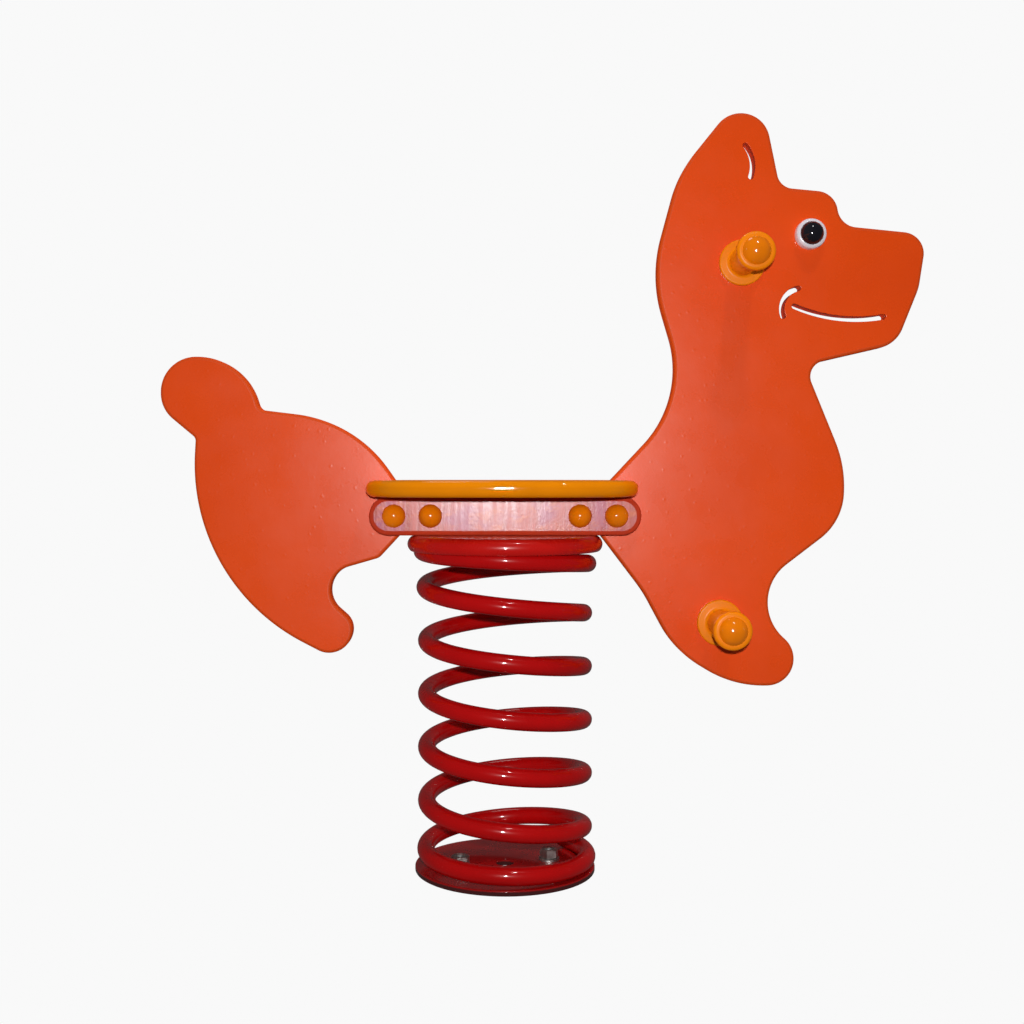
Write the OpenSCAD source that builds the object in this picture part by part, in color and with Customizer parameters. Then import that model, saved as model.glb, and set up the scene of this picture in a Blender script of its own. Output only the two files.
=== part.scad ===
// Spring rider: a two-panel animal body on rails and a seat, carried by one coil spring on a base plate.
// Millimetres. +X is the way the rider faces, +Z is up, and the origin is the middle of the base's underside.

/* [Base] */
// Diameter of the base plate
base_d = 204; // [196:1:230]
// Thickness of the base plate
base_t = 6; // [4:0.5:10]
// Distance of the lowest turn, at the middle of its bar, from the base plate's edge
base_edge = 9; // [4:0.5:14]
// Diameter of the open hole in the middle of the base plate
centre_hole_d = 20; // [12:1:30]
// Distance of the two anchor holes from the base plate's edge
anchor_edge = 49.5; // [40:0.5:55]
// Diameter of an anchor hole, for an M12 stud
anchor_hole_d = 13; // [12.5:0.1:14]
// Turn of the line through both anchor holes, in degrees
anchor_turn = 15; // [0:1:45]

/* [Spring] */
// Thickness of the spring's bar
wire_d = 20; // [16:0.5:22]
// Mean diameter of the working turns
coil_d = 178; // [160:1:182]
// Turns from the base plate to the cup
turns = 6.85; // [5.8:0.05:7.1]
// Gap between the start of the lowest turn and the turn above it
base_turn_gap = 6; // [2:0.5:8]
// Gap between the end of the highest turn and the turn below it
top_turn_gap = 3; // [1:0.5:5]

/* [Cup] */
// Height of the deck, where the cup's top carries the rails
deck_z = 380; // [340:1:440]
// Diameter of the cup over its rim
cup_d = 222; // [220:1:226]
// Thickness of the cup's top
cup_t = 5; // [4:0.5:6]
// Radius of the cup's half-round rim
cup_rim_r = 10; // [9:0.5:12]
// Wall of the cup's rim at its thickest
cup_wall = 6; // [5:0.5:6.5]

/* [Rails] */
// Length of a rail
rail_l = 306; // [296:1:320]
// Height of a rail
rail_h = 44; // [40:1:50]
// Thickness of a rail
rail_t = 15; // [12:1:20]
// Radius that rounds a rail's edges
rail_edge_r = 3; // [1:0.5:5]
// Distance of the outer cross bolts from the rail's ends
bolt_end = 28; // [22:1:34]
// Distance between the two cross bolts at each end
bolt_pitch = 41; // [34:1:48]

/* [Panels] */
// Thickness of the sheet that both body panels are cut from
panel_t = 20; // [15:1:25]
// Radius that rounds a panel's edges
panel_edge_r = 4; // [1:0.5:5]
// Distance from the inner cross bolts to the end of each panel's tongue
tongue_end = 22; // [16:1:28]
// Width of the slots that draw the ear, cheek and mouth
slot_w = 6; // [4:0.5:8]

/* [Seat] */
// How far the rails reach past the seat in front
seat_front_inset = 5; // [0:0.5:12]
// How far the seat reaches past the rails behind
seat_rear_reach = 2; // [0:0.5:12]
// Width of the seat
seat_w = 250; // [230:1:320]
// Thickness of the seat
seat_t = 18; // [17:0.5:24]
// Radius of the seat's corners, seen from above
seat_corner_r = 95; // [40:1:100]
// Radius that rounds the seat's edges
seat_edge_r = 8; // [4:0.5:8.5]
// Distance of the seat bolts from the ends of the tube below them
seat_bolt_end = 16; // [12:1:30]

/* [Grips] */
// Length of a hand grip or foot peg from the panel's face
grip_l = 85; // [76:1:120]
// Diameter of a grip's flange
flange_d = 52; // [48:1:60]
// Thickness of a grip's flange
flange_t = 6; // [5:0.5:8]
// Diameter of the part that is held
sleeve_d = 30; // [26:1:34]
// Diameter of the knob at the end
knob_d = 42; // [38:1:48]
// Thickness of the knob at the end
knob_t = 10; // [8.5:0.5:14]
// Distance of the hand grips ahead of the spring
hand_x = 268; // [255:1:280]
// Height of the hand grips above the deck
hand_z = 308; // [290:1:330]
// Distance of the foot pegs ahead of the spring
foot_x = 243; // [235:1:255]
// Height of the foot pegs above the deck
foot_z = -99; // [-105:1:-80]

/* [Eyes] */
// Distance of the eyes ahead of the spring
eye_x = 345; // [335:1:355]
// Height of the eyes above the deck
eye_z = 340; // [330:1:350]
// Diameter of the white of an eye
eye_d = 34; // [31:1:40]
// Thickness of the white of an eye
eye_t = 12; // [8:0.5:14]
// Radius that rounds the front edge of the white of an eye
eye_edge_r = 4; // [2:0.5:4]

/* [Fasteners] */
// Diameter of the through bolts
bolt_d = 8; // [7.5:0.1:8.2]
// Width of the bolt heads and nuts across their flats
bolt_flats = 13; // [12:0.1:13.4]
// Height of a bolt head
head_h = 5.3; // [4:0.1:5.5]
// Height of a low nut
nut_h = 5; // [4:0.1:5.2]
// Diameter of a washer
washer_d = 16; // [15.5:0.1:16.4]
// Thickness of a washer
washer_t = 1.6; // [1.2:0.1:1.8]
// Wall of the dome caps at their foot
cap_wall = 4.9; // [4:0.1:7]
// Wall of the larger dome caps on the grips, at their foot
grip_cap_wall = 7.1; // [5:0.1:8.5]
// Thickness of the dome caps at their crown
cap_crown = 3.6; // [2.5:0.1:6]
// Width of the anchor nuts across their flats
anchor_flats = 19; // [18:0.5:19]
// Height of the anchor nuts
anchor_nut_h = 10; // [8:0.5:12]
// Diameter of the anchor washers
anchor_washer_d = 24; // [23:1:26]
// Thickness of the anchor washers
anchor_washer_t = 2.5; // [2:0.1:3]

/* [Hidden] */
$fn = 64;

// Clearances
hole_gap = 0.3;        // a bolt's shank in its hole, on the radius
thread_gap = 0.15;     // a nut's bore round its bolt, on the radius
seat_gap = 0.3;        // the spring's end turns on the plate and in the cup
tongue_gap = 1;        // a tongue between the deck and the seat, and to the saddle tube
slot_gap = 1;          // the seat's slots round the panels, on each side
cup_gap = 1;           // the spring's top turn in the cup, on the radius
cap_gap = 0.3;         // a cap round the washer and bolt end that it covers
plug_gap = 0.15;       // a plug in its counterbore
head_gap = 1;          // a bolt's head in its counterbore, on the radius
stud_gap = 0.4;        // how much narrower an anchor nut's bore is than its hole, on the radius
thread_end = 0.5;      // a bolt's end past its nut

// Finish of the facets
arc_error = 0.15;      // farthest that a chord leaves its arc
edge_steps = 3;        // facets across a rounded edge
turn_rings = 30;       // rings of the spring's tube in one turn
tube_sides = 10;       // sides of the spring's tube
profile_steps = 8;     // facets across an arc of a turned profile

// Heights and places worked out from the sizes above
seat_z = deck_z + rail_h;
bolt_z = deck_z + rail_h / 2;
bolt_hole_r = bolt_d / 2 + hole_gap;
rail_y = panel_t / 2 + rail_t / 2;
bolt_outer_x = rail_l / 2 - bolt_end;
bolt_inner_x = bolt_outer_x - bolt_pitch;
tongue_x = bolt_inner_x - tongue_end;
tongue_low = tongue_gap;
tongue_high = rail_h - tongue_gap;
saddle_l = 2 * (tongue_x - tongue_gap);
saddle_wall = 3;
seat_bolt_x = saddle_l / 2 - seat_bolt_end;
seat_front = rail_l / 2 - seat_front_inset;
seat_rear = -rail_l / 2 - seat_rear_reach;
anchor_r = base_d / 2 - anchor_edge;
anchor_hole_r = anchor_hole_d / 2;
anchor_bore_r = anchor_hole_r - stud_gap;

// Fasteners
rail_span = panel_t + 2 * rail_t;
grip_span = panel_t + 2 * grip_l;
eye_span = panel_t + 2 * eye_t;
head_r = max(washer_d / 2, bolt_flats / cos(30) / 2);
head_room = washer_t + max(head_h, nut_h + thread_end) + cap_gap;
cap_room_r = head_r + cap_gap;
cap_h = head_room + cap_crown;
plug_d = 2 * (head_r + head_gap);
plug_t = 2.5;
plug_depth = plug_t + head_h + hole_gap;

// Spring. Each end rises as the square of its turns, and so clears the turn beside it by the set gap.
wire_r = wire_d / 2;
coil_r = coil_d / 2;
base_ring_r = base_d / 2 - base_edge;
top_ring_r = cup_d / 2 - cup_wall - cup_gap - wire_r;
spring_low = base_t + wire_r + seat_gap;
spring_high = deck_z - cup_t - wire_r - seat_gap;
base_seat = 0.12;      // turns that lie flat on the base plate
top_seat = 0.02;       // turns that lie flat in the cup
top_hold = 0.85;       // turns at the upper end that keep the cup's radius
base_share = pow(1 - base_seat, 2) / (2 * (wire_d + base_turn_gap));
top_share = pow(1 - top_seat, 2) / (2 * (wire_d + top_turn_gap));
ramp_share = base_share + top_share;
pitch = (turns - sqrt(turns * turns - 2 * ramp_share * (spring_high - spring_low))) / ramp_share;
base_ramp = base_share * pitch;
top_ramp = top_share * pitch;
ring_count = round(turn_rings * (turns + base_seat + top_seat));
ring_step = 1 / turn_rings;
weld_r = 4;
weld_from = -36;       // first and last angle of the weld bead
weld_to = 38;

// Outline points are [x, height above the deck, radius of the corner there],
// anticlockwise seen from the rider's right
neck_x = 102;          // where the neck leaves the front tongue
back_x = 111;          // where the back leaves the rear tongue
tongue_r = 6;
cup_lap = 4;           // how far the calf starts inside the cup's rim
cup_clear = 7;         // how far the belly starts outside the cup's rim
front_outline = [
  [tongue_x, tongue_low, tongue_r],
  [cup_d / 2 - cup_lap, tongue_low, 5],
  [157, -65, 150],     // calf
  [192.5, -131.5, 120],
  [260, -172, 124],    // sole
  [374, -169, 30.5],   // toe
  [268, -73, 54],      // bend above the foot
  [383, 15, 68],       // chest
  [386.5, 78, 137],
  [340, 192.5, 18],    // throat
  [444, 216.5, 36],    // chin
  [469.5, 280, 60],    // muzzle
  [479, 341, 24.5],    // nose
  [380.5, 351, 23],    // bridge of the nose
  [374.5, 388.5, 25],  // brow
  [312, 394.5, 18.5],  // foot of the ear
  [286, 521, 33],      // tip of the ear
  [197.5, 411, 140],   // back of the ear
  [166, 294.5, 162],   // back of the head
  [207, 155, 125],     // nape
  [neck_x, tongue_high, tongue_r],
  [tongue_x, tongue_high, tongue_r]
];
rear_outline = [
  [-tongue_x, tongue_low, tongue_r],
  [-tongue_x, tongue_high, tongue_r],
  [-back_x, tongue_high, tongue_r],
  [-171, 129, 149],    // back
  [-278, 142, 10],     // root of the tail
  [-297, 201.5, 71],   // top of the tail
  [-391, 203, 40],     // tip of the tail
  [-390.5, 143, 37.5],
  [-351, 110, 7],      // underside of the tail
  [-360, -54, 228],    // rump
  [-183, -146, 27],    // paw
  [-169.5, -100, 22.5],
  [-226, -50, 28],     // bend above the paw
  [-143, -26, 9],      // belly
  [-cup_d / 2 - cup_clear, tongue_low, tongue_r]
];
// Face slots are [centre x, centre height above the deck, radius, first angle, last angle]
ear_slot = [243.5, 418, 37, -19, 39];
cheek_slot = [337.5, 256, 24, 103, 200];
mouth_slot = [398, 420.5, 176, 246.5, 280];

orange = "#E0521F";
yellow = "#F29A12";
red = "#B01218";
zinc = "#B8BCC0";

// Samples of one rounded corner as [x, y, outward normal x, outward normal y]
function unit(v) = v / norm(v);
function corner(before, here, after) =
  let (
    p = [here[0], here[1]],
    u = unit([before[0], before[1]] - p),
    v = unit([after[0], after[1]] - p),
    half = acos(u * v) / 2,
    r = here[2],
    centre = p + unit(u + v) * r / sin(half),
    start = p + u * r / tan(half) - centre,
    side = v[0] * u[1] - v[1] * u[0] > 0 ? 1 : -1,
    sweep = 180 - 2 * half,
    count = max(2, ceil(sweep / (2 * acos(1 - min(arc_error / r, 0.5))))),
    first = atan2(start[1], start[0])
  )
  [for (i = [0:count])
    let (a = first + side * sweep * i / count)
    [centre[0] + r * cos(a), centre[1] + r * sin(a), side * cos(a), side * sin(a)]];

// Samples of a whole outline, corner after corner
function outline(corners) =
  let (n = len(corners))
  [for (i = [0:n - 1]) each corner(corners[(i + n - 1) % n], corners[i], corners[(i + 1) % n])];

// Points along an arc, with and without its last point
function arc(x, y, r, from, to) =
  [for (i = [0:profile_steps])
    let (a = from + (to - from) * i / profile_steps) [x + r * cos(a), y + r * sin(a)]];
function open_arc(x, y, r, from, to) =
  let (points = arc(x, y, r, from, to)) [for (i = [0:profile_steps - 1]) points[i]];

// Height, radius and centre of the spring's bar, at a number of turns up from where it leaves the plate
function coil_height(t) =
  t <= 0 ? spring_low
  : t < base_ramp ? spring_low + pitch * t * t / (2 * base_ramp)
  : t < turns - top_ramp ? spring_low + pitch * (t - base_ramp / 2)
  : t < turns ? spring_high - pitch * pow(turns - t, 2) / (2 * top_ramp)
  : spring_high;
function share_left(t) = pow(max(0, min(1, 1 - t)), 2);
function coil_radius(t) =
  coil_r + (base_ring_r - coil_r) * share_left(t / base_ramp)
  + (top_ring_r - coil_r) * share_left((turns - t - top_hold) / top_ramp);
function coil_point(t) =
  [coil_radius(t) * cos(360 * t), -coil_radius(t) * sin(360 * t), coil_height(t)];

// Ring of the spring's tube, square to its bar
function coil_ring(t) =
  let (
    ahead = unit(coil_point(t + ring_step / 2) - coil_point(t - ring_step / 2)),
    out = unit([cos(360 * t), -sin(360 * t), 0]),
    up = unit(cross(out, ahead)),
    side = cross(ahead, up)
  )
  [for (i = [0:tube_sides - 1])
    let (a = 360 * i / tube_sides) coil_point(t) + wire_r * (cos(a) * side + sin(a) * up)];

// Flat sheet of the given outline with rounded edges, lying on the XY plane.
// The resize keeps the sheet's size and splits its two large faces into triangles.
module sheet(corners, t, edge_r) {
  samples = outline(corners);
  n = len(samples);
  quarter = [for (k = [0:edge_steps])
    let (a = 90 * k / edge_steps) [edge_r * (1 - cos(a)), edge_r * (1 - sin(a))]];
  levels = concat(quarter, [for (k = [edge_steps:-1:0]) [t - quarter[k][0], quarter[k][1]]]);
  last = len(levels) - 1;
  points = [for (level = levels) for (s = samples)
    [s[0] - level[1] * s[2], s[1] - level[1] * s[3], level[0]]];
  walls = [for (k = [0:last - 1]) for (i = [0:n - 1])
    let (a = k * n + i, b = k * n + (i + 1) % n, c = a + n, d = b + n)
    each [[a, c, d], [a, d, b]]];
  low_face = [for (i = [0:n - 1]) i];
  high_face = [for (i = [n - 1:-1:0]) last * n + i];
  resize([0, 0, t]) polyhedron(points, concat([low_face], walls, [high_face]));
}

// Sheet stood upright along X, in the middle of the object, with its outline above the deck
module upright(corners, t, edge_r) {
  translate([0, t / 2, deck_z]) rotate([90, 0, 0]) sheet(corners, t, edge_r);
}

// Children turned to point along -Y, at a place given as x and height
module across(x, z) {
  translate([x, 0, z]) rotate([90, 0, 0]) children();
}

// Children at both ends of a bolt that clamps the given span, pointing outwards
module both_ends(span) {
  for (side = [0, 180]) rotate([side, 0, 0]) translate([0, 0, span / 2]) children();
}

// Children at each of the four cross bolts of the rails
module at_rail_bolts() {
  for (x = [-bolt_outer_x, -bolt_inner_x, bolt_inner_x, bolt_outer_x]) across(x, bolt_z) children();
}

// Children at the hand grips' bolt, at the foot pegs' bolt and at the eyes' bolt
module at_hands() { across(hand_x, deck_z + hand_z) children(); }

module at_feet() { across(foot_x, deck_z + foot_z) children(); }

module at_eyes() { across(eye_x, deck_z + eye_z) children(); }

// Children at the two upright bolts of the seat
module at_seat_bolts() {
  for (x = [-seat_bolt_x, seat_bolt_x]) translate([x, 0, 0]) children();
}

// Round hole for a through bolt
module bolt_hole(length) {
  cylinder(r = bolt_hole_r, h = length, center = true);
}

module hexagon(flats, h) {
  cylinder(d = flats / cos(30), h = h, $fn = 6);
}

// Through bolt along Z for the given span, with its head at the top
module bolt(span) {
  low = -span / 2 - washer_t - nut_h - thread_end;
  translate([0, 0, low]) cylinder(d = bolt_d, h = span + 2 * washer_t + nut_h + thread_end);
  translate([0, 0, span / 2 + washer_t]) hexagon(bolt_flats, head_h);
}

module nut(span) {
  translate([0, 0, -span / 2 - washer_t - nut_h]) difference() {
    hexagon(bolt_flats, nut_h);
    translate([0, 0, -1]) cylinder(r = bolt_d / 2 + thread_gap, h = nut_h + 2);
  }
}

module washer(d, bore_r, t) {
  difference() {
    cylinder(d = d, h = t);
    translate([0, 0, -1]) cylinder(r = bore_r, h = t + 2);
  }
}

module bolt_washer() {
  washer(washer_d, bolt_hole_r, washer_t);
}

// Dome cap of the given wall, with a round room in it for the washer and the bolt's end
module cap(wall) {
  r = cap_room_r + wall;
  sphere_r = (r * r + cap_h * cap_h) / (2 * cap_h);
  difference() {
    intersection() {
      translate([0, 0, cap_h - sphere_r]) sphere(r = sphere_r);
      cylinder(r = r, h = cap_h);
    }
    translate([0, 0, -1]) cylinder(r = cap_room_r, h = head_room + 1);
  }
}

// Slot with round ends along an arc, right through the head
module face_slot(s) {
  r = s[2];
  from = s[3];
  to = s[4];
  half = slot_w / 2;
  across(s[0], deck_z + s[1]) linear_extrude(panel_t + 2, center = true) polygon(concat(
    open_arc(0, 0, r + half, from, to),
    open_arc(r * cos(to), r * sin(to), half, to, to + 180),
    open_arc(0, 0, r - half, to, from),
    open_arc(r * cos(from), r * sin(from), half, from + 180, from + 360)
  ));
}

// Grip with its flange on the XY plane, a sleeve drawn in a little at its middle, and a knob at its end
module grip() {
  flange_edge = flange_t / 3;
  knob_edge = 4;
  sleeve_r = sleeve_d / 2;
  root_r = min(4, knob_d / 2 - flange_edge - sleeve_r);
  waist = 1;
  knob_z = grip_l - knob_t;
  rotate_extrude() polygon(concat(
    [[bolt_hole_r, 0], [flange_d / 2, 0]],
    arc(flange_d / 2 - flange_edge, flange_t - flange_edge, flange_edge, 0, 90),
    arc(sleeve_r + root_r, flange_t + root_r, root_r, 270, 180),
    [[sleeve_r - waist, (flange_t + knob_z) / 2]],
    arc(sleeve_r + root_r, knob_z - root_r, root_r, 180, 90),
    arc(knob_d / 2 - flange_edge, knob_z + flange_edge, flange_edge, 270, 360),
    arc(knob_d / 2 - knob_edge, grip_l - knob_edge, knob_edge, 0, 90),
    [[bolt_hole_r, grip_l]]
  ));
}

// Weld bead inside the spring's lowest turn, where it lies on the plate
module weld_bead() {
  rotate([0, 0, weld_from]) rotate_extrude(angle = weld_to - weld_from)
    translate([base_ring_r - wire_r - weld_r / 8, base_t]) circle(r = weld_r, $fn = 24);
}

module at_anchors() {
  for (half = [0, 180]) rotate(anchor_turn + half) translate([anchor_r, 0, 0]) children();
}

module base_plate() {
  color(red) difference() {
    union() {
      cylinder(d = base_d, h = base_t);
      weld_bead();
    }
    translate([0, 0, -1]) cylinder(d = centre_hole_d, h = base_t + 2);
    at_anchors() translate([0, 0, -1]) cylinder(r = anchor_hole_r, h = base_t + 2);
  }
}

module anchor_washers() {
  color(zinc) at_anchors() translate([0, 0, base_t]) washer(anchor_washer_d, anchor_hole_r, anchor_washer_t);
}

module anchor_nuts() {
  color(zinc) at_anchors() translate([0, 0, base_t + anchor_washer_t]) difference() {
    hexagon(anchor_flats, anchor_nut_h);
    translate([0, 0, -1]) cylinder(r = anchor_bore_r, h = anchor_nut_h + 2);
  }
}

// One unbroken left-hand tube, with square-cut ends
module spring() {
  places = [for (i = [0:ring_count]) -base_seat + (turns + base_seat + top_seat) * i / ring_count];
  centres = [for (t = places) coil_point(t)];
  half_turn = floor(turn_rings / 2);
  gap = min([for (i = [0:ring_count - half_turn]) for (j = [i + half_turn:ring_count])
    if (j < i + 3 * half_turn) norm(centres[i] - centres[j])]) - wire_d;
  echo(str("Least gap between the spring's turns: ", gap, " mm"));
  n = tube_sides;
  walls = [for (k = [0:ring_count - 1]) for (i = [0:n - 1])
    let (a = k * n + i, b = k * n + (i + 1) % n, c = a + n, d = b + n)
    each [[a, b, d], [a, d, c]]];
  low_end = [for (i = [1:n - 2]) [0, i + 1, i]];
  high_end = [for (i = [1:n - 2]) [ring_count * n, ring_count * n + i, ring_count * n + i + 1]];
  color(red) polyhedron([for (t = places) each coil_ring(t)], concat(low_end, walls, high_end));
}

// Pressed cup with a half-round rim, which the spring's top turn stands in
module upper_cup() {
  rim_x = cup_d / 2 - cup_rim_r;
  inner_r = cup_d / 2 - cup_wall;
  end_angle = -acos((inner_r - rim_x) / cup_rim_r);
  color(red) difference() {
    rotate_extrude() polygon(concat(
      [[0, deck_z - cup_t], [0, deck_z]],
      arc(rim_x, deck_z - cup_rim_r, cup_rim_r, 90, end_angle),
      [[inner_r, deck_z - cup_t]]
    ));
    at_seat_bolts() translate([0, 0, deck_z - cup_t - 1]) cylinder(r = bolt_hole_r, h = cup_t + 2);
  }
}

// Box-section tube welded on the cup, which fills the gap between the rails
module saddle_tube() {
  color(red) difference() {
    translate([-saddle_l / 2, -panel_t / 2, deck_z]) cube([saddle_l, panel_t, rail_h]);
    translate([-saddle_l / 2 - 1, -panel_t / 2 + saddle_wall, deck_z + saddle_wall])
      cube([saddle_l + 2, panel_t - 2 * saddle_wall, rail_h - 2 * saddle_wall]);
    at_seat_bolts() translate([0, 0, deck_z - 1]) cylinder(r = bolt_hole_r, h = rail_h + 2);
  }
}

module rail(side) {
  end_r = rail_h / 2 * 0.999;
  color(orange) difference() {
    translate([0, side * rail_y, 0]) upright([
      [-rail_l / 2, 0, end_r], [rail_l / 2, 0, end_r],
      [rail_l / 2, rail_h, end_r], [-rail_l / 2, rail_h, end_r]
    ], rail_t, rail_edge_r);
    at_rail_bolts() bolt_hole(rail_span + 2);
  }
}

module rail_left() { rail(1); }

module rail_right() { rail(-1); }

module front_panel() {
  color(orange) difference() {
    upright(front_outline, panel_t, panel_edge_r);
    at_rail_bolts() bolt_hole(panel_t + 2);
    at_hands() bolt_hole(panel_t + 2);
    at_feet() bolt_hole(panel_t + 2);
    at_eyes() bolt_hole(panel_t + 2);
    face_slot(ear_slot);
    face_slot(cheek_slot);
    face_slot(mouth_slot);
  }
}

module rear_panel() {
  color(orange) difference() {
    upright(rear_outline, panel_t, panel_edge_r);
    at_rail_bolts() bolt_hole(panel_t + 2);
  }
}

// Seat board with a slot at each end for the panels, and two counterbored holes
module seat() {
  slot_y = panel_t / 2 + slot_gap;
  front_x = neck_x - 2 * slot_gap;
  rear_x = -back_x + 2 * slot_gap;
  mouth_r = seat_edge_r + 1;
  root_r = 3;
  y = seat_w / 2;
  corner_r = min(seat_corner_r, y - slot_y - mouth_r);
  color(yellow) difference() {
    translate([0, 0, seat_z]) sheet([
      [seat_front, -y, corner_r],
      [seat_front, -slot_y, mouth_r], [front_x, -slot_y, root_r],
      [front_x, slot_y, root_r], [seat_front, slot_y, mouth_r],
      [seat_front, y, corner_r], [seat_rear, y, corner_r],
      [seat_rear, slot_y, mouth_r], [rear_x, slot_y, root_r],
      [rear_x, -slot_y, root_r], [seat_rear, -slot_y, mouth_r],
      [seat_rear, -y, corner_r]
    ], seat_t, seat_edge_r);
    at_seat_bolts() translate([0, 0, seat_z]) {
      translate([0, 0, -1]) cylinder(r = bolt_hole_r, h = seat_t + 2);
      translate([0, 0, seat_t - plug_depth]) cylinder(d = plug_d, h = plug_depth + 1);
    }
  }
}

// Long bolts from the seat's counterbores down through the saddle tube and the cup
module seat_bolts() {
  top = seat_z + seat_t - plug_depth;
  low = deck_z - cup_t - washer_t - nut_h - thread_end;
  color(zinc) at_seat_bolts() {
    translate([0, 0, low]) cylinder(d = bolt_d, h = top - low);
    translate([0, 0, top]) hexagon(bolt_flats, head_h);
  }
}

module seat_washers() {
  color(zinc) at_seat_bolts() translate([0, 0, deck_z - cup_t - washer_t]) bolt_washer();
}

module seat_nuts() {
  color(zinc) at_seat_bolts() translate([0, 0, deck_z - cup_t]) nut(0);
}

module seat_plugs() {
  color(yellow) at_seat_bolts() translate([0, 0, seat_z + seat_t - plug_t])
    cylinder(d = plug_d - 2 * plug_gap, h = plug_t);
}

// Cross bolts of the rails, with their washers, nuts and caps
module rail_bolts() { color(zinc) at_rail_bolts() bolt(rail_span); }

module rail_washers() {
  color(zinc) at_rail_bolts() both_ends(rail_span) bolt_washer();
}

module rail_nuts() { color(zinc) at_rail_bolts() nut(rail_span); }

module rail_caps() { color(yellow) at_rail_bolts() both_ends(rail_span) cap(cap_wall); }

// Hand grips and foot pegs, in pairs on one through bolt
module hand_grip_right() { color(yellow) at_hands() translate([0, 0, panel_t / 2]) grip(); }

module hand_grip_left() {
  color(yellow) at_hands() rotate([180, 0, 0]) translate([0, 0, panel_t / 2]) grip();
}

module hand_bolt() { color(zinc) at_hands() bolt(grip_span); }

module hand_washers() {
  color(zinc) at_hands() both_ends(grip_span) bolt_washer();
}

module hand_nut() { color(zinc) at_hands() nut(grip_span); }

module hand_caps() { color(yellow) at_hands() both_ends(grip_span) cap(grip_cap_wall); }

module foot_peg_right() { color(yellow) at_feet() translate([0, 0, panel_t / 2]) grip(); }

module foot_peg_left() {
  color(yellow) at_feet() rotate([180, 0, 0]) translate([0, 0, panel_t / 2]) grip();
}

module foot_bolt() { color(zinc) at_feet() bolt(grip_span); }

module foot_washers() {
  color(zinc) at_feet() both_ends(grip_span) bolt_washer();
}

module foot_nut() { color(zinc) at_feet() nut(grip_span); }

module foot_caps() { color(yellow) at_feet() both_ends(grip_span) cap(grip_cap_wall); }

// Eyes: a white ring on each side of the head, clamped by one bolt under black caps
module eye_whites() {
  color("white") at_eyes() both_ends(panel_t) rotate_extrude() polygon(concat(
    [[bolt_hole_r, 0], [eye_d / 2, 0]],
    arc(eye_d / 2 - eye_edge_r, eye_t - eye_edge_r, eye_edge_r, 0, 90),
    [[bolt_hole_r, eye_t]]
  ));
}

module eye_bolt() { color(zinc) at_eyes() bolt(eye_span); }

module eye_washers() {
  color(zinc) at_eyes() both_ends(eye_span) bolt_washer();
}

module eye_nut() { color(zinc) at_eyes() nut(eye_span); }

module eye_pupils() { color("black") at_eyes() both_ends(eye_span) cap(cap_wall); }

base_plate();
anchor_washers();
anchor_nuts();
spring();
upper_cup();
saddle_tube();
rail_left();
rail_right();
front_panel();
rear_panel();
seat();
seat_bolts();
seat_washers();
seat_nuts();
seat_plugs();
rail_bolts();
rail_washers();
rail_nuts();
rail_caps();
hand_grip_left();
hand_grip_right();
hand_bolt();
hand_washers();
hand_nut();
hand_caps();
foot_peg_left();
foot_peg_right();
foot_bolt();
foot_washers();
foot_nut();
foot_caps();
eye_whites();
eye_bolt();
eye_washers();
eye_nut();
eye_pupils();
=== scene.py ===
"""Spring rider: finished surfaces, materials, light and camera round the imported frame, in metres."""

import math

import bpy
import numpy as np
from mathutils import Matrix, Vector
from mathutils.geometry import tessellate_polygon


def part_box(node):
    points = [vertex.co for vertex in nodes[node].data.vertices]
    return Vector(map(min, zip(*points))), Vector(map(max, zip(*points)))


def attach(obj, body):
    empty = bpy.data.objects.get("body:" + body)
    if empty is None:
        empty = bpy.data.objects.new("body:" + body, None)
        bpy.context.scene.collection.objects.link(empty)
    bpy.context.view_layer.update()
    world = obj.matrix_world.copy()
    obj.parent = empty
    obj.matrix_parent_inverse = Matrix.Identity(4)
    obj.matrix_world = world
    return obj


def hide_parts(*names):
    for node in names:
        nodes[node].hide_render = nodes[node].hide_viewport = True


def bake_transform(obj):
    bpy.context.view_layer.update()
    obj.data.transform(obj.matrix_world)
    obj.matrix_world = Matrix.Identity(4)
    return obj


MM = 0.001
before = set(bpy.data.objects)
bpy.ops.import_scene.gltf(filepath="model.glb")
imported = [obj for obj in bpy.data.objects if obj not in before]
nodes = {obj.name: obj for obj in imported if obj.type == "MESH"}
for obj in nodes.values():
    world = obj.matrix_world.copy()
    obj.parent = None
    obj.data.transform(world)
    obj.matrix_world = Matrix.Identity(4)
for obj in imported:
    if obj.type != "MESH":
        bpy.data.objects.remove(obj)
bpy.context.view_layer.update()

# Sizes that the frame gives
RAIL_LOW, RAIL_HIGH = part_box("rail_right")
SEAT_LOW, SEAT_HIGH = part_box("seat")
PANEL_LOW, PANEL_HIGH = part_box("front_panel")
CUP_LOW, CUP_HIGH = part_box("upper_cup")
GRIP_LOW, GRIP_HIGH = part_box("hand_grip_right")
EYE_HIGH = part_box("eye_whites")[1]
DECK = RAIL_LOW.z
RAIL_T = RAIL_HIGH.y - RAIL_LOW.y
PANEL_T = PANEL_HIGH.y - PANEL_LOW.y
PANEL_FACE = PANEL_T / 2
RAIL_FACE = PANEL_FACE + RAIL_T
GRIP_L = GRIP_HIGH.y - GRIP_LOW.y
EYE_T = EYE_HIGH.y - PANEL_FACE

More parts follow.
